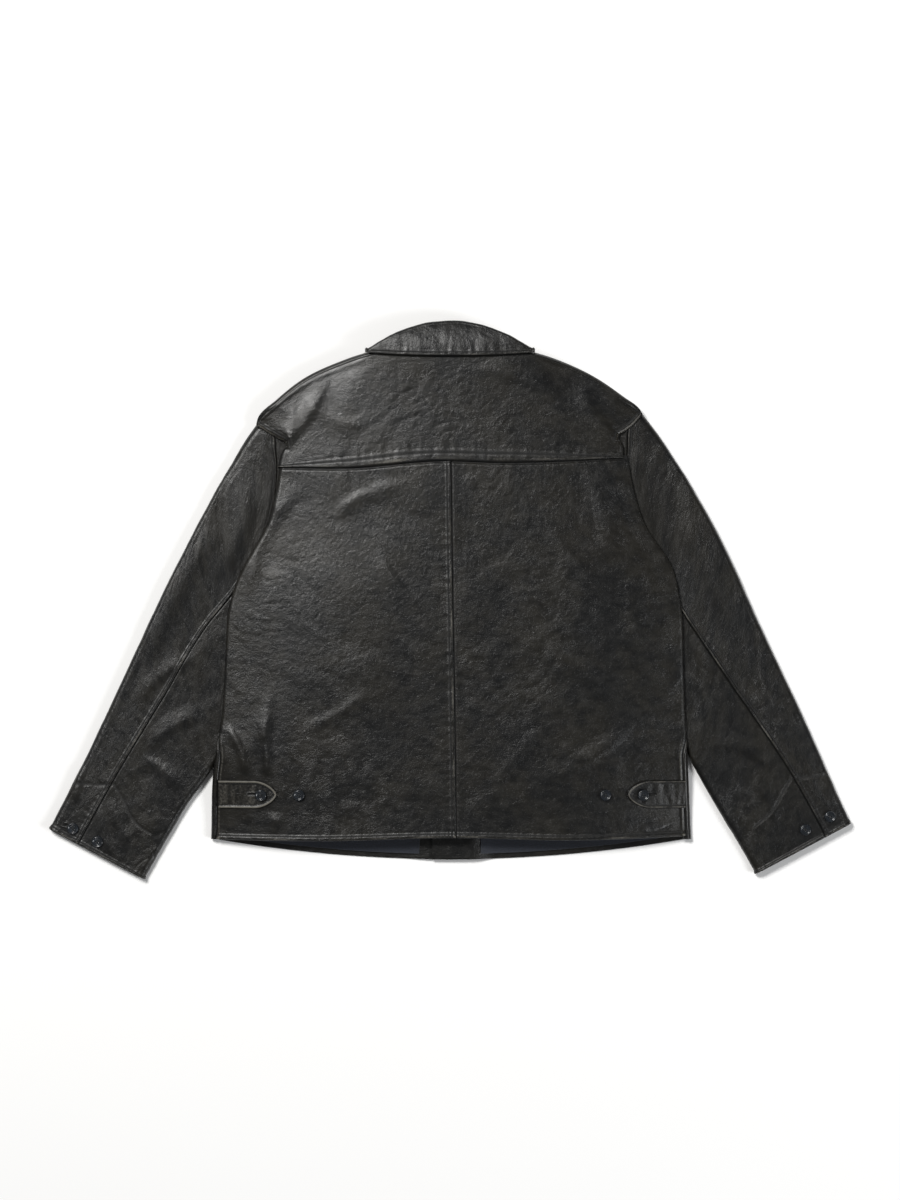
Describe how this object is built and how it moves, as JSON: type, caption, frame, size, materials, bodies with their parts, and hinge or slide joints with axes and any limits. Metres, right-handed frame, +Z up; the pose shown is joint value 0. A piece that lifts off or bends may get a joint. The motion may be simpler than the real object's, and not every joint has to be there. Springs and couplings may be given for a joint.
{
  "type": "leather jacket",
  "caption": "Hip-length leather jacket laid flat, back up: folded collar, yoked back with centre seam, two-piece sleeves, buttoned waist tabs and cuff vents.",
  "frame": {"origin": "bottom centre of the whole box: the surface the jacket lies on, midway between the cuffs and between collar and cuffs", "axes": "+Z up out of the jacket's back, +Y from hem to collar, +X towards the wearer's right"},
  "size_m": [1.0402, 0.723, 0.0362],
  "materials": {
    "black_leather": "soft grained black cowhide with an olive cast, satin sheen, creased and rubbed on its seams",
    "wool_lining": "napped navy black wool blanket cloth",
    "pocket_cotton": "plain dark cotton twill",
    "button_resin": "polished navy black resin, four sewing holes and a raised rim"
  },
  "bodies": {
    "shell": {"back_yoke": "black_leather", "back_neck_facing": "black_leather", "hanger_loop": "black_leather", "collar_stand": "black_leather", "back_panel_left": "black_leather", "back_panel_right": "black_leather", "front_panel_left": "black_leather", "front_panel_right": "black_leather", "front_facing_left": "black_leather", "front_facing_right": "black_leather", "pocket_welt_left": "black_leather", "pocket_welt_right": "black_leather", "collar_front_left": "black_leather", "collar_front_right": "black_leather", "lining_back": "wool_lining", "lining_front_left": "wool_lining", "lining_front_right": "wool_lining", "pocket_bag_left": "pocket_cotton", "pocket_bag_right": "pocket_cotton", "waist_button_outer_left": "button_resin", "waist_button_outer_right": "button_resin", "waist_button_inner_left": "button_resin", "waist_button_inner_right": "button_resin", "front_button_1": "button_resin", "front_button_2": "button_resin", "front_button_3": "button_resin", "front_button_4": "button_resin", "front_button_5": "button_resin", "front_button_6": "button_resin"},
    "collar": {"collar_leaf": "black_leather", "under_collar": "black_leather"},
    "sleeve_left": {"upper_sleeve_left": "black_leather", "under_sleeve_left": "black_leather", "lining_sleeve_left": "wool_lining", "cuff_facing_left": "black_leather", "cuff_button_outer_left": "button_resin", "cuff_button_inner_left": "button_resin"},
    "cuff_flap_left": {"cuff_flap_left": "black_leather"},
    "waist_tab_left": {"waist_tab_left": "black_leather"},
    "sleeve_right": {"upper_sleeve_right": "black_leather", "under_sleeve_right": "black_leather", "lining_sleeve_right": "wool_lining", "cuff_facing_right": "black_leather", "cuff_button_outer_right": "button_resin", "cuff_button_inner_right": "button_resin"},
    "cuff_flap_right": {"cuff_flap_right": "black_leather"},
    "waist_tab_right": {"waist_tab_right": "black_leather"}
  },
  "joints": [
    {"name": "collar_turn_up", "type": "hinge", "parent": "shell", "child": "collar", "pos_m": [0, 0.35646, 0.0255], "axis": [-1, 0, 0], "range_deg": [0, 100], "deforming": ["collar_leaf", "under_collar"]},
    {"name": "sleeve_swing_left", "type": "hinge", "parent": "shell", "child": "sleeve_left", "pos_m": [-0.246, 0.20446, 0.007], "axis": [0, 0, -1], "range_deg": [0, 30]},
    {"name": "cuff_flap_open_left", "type": "hinge", "parent": "sleeve_left", "child": "cuff_flap_left", "pos_m": [-0.4377, -0.24384, 0.0125], "axis": [-0.802, -0.5973, 0], "range_deg": [0, 130], "deforming": ["cuff_flap_left"]},
    {"name": "waist_tab_lift_left", "type": "hinge", "parent": "shell", "child": "waist_tab_left", "pos_m": [-0.2975, -0.25254, 0.0145], "axis": [0, -1, 0], "range_deg": [0, 140], "deforming": ["waist_tab_left"]},
    {"name": "sleeve_swing_right", "type": "hinge", "parent": "shell", "child": "sleeve_right", "pos_m": [0.246, 0.20446, 0.007], "axis": [0, 0, 1], "range_deg": [0, 30]},
    {"name": "cuff_flap_open_right", "type": "hinge", "parent": "sleeve_right", "child": "cuff_flap_right", "pos_m": [0.4377, -0.24384, 0.0125], "axis": [-0.802, 0.5973, 0], "range_deg": [0, 130], "deforming": ["cuff_flap_right"]},
    {"name": "waist_tab_lift_right", "type": "hinge", "parent": "shell", "child": "waist_tab_right", "pos_m": [0.2975, -0.25254, 0.0145], "axis": [0, 1, 0], "range_deg": [0, 140], "deforming": ["waist_tab_right"]}
  ]
}
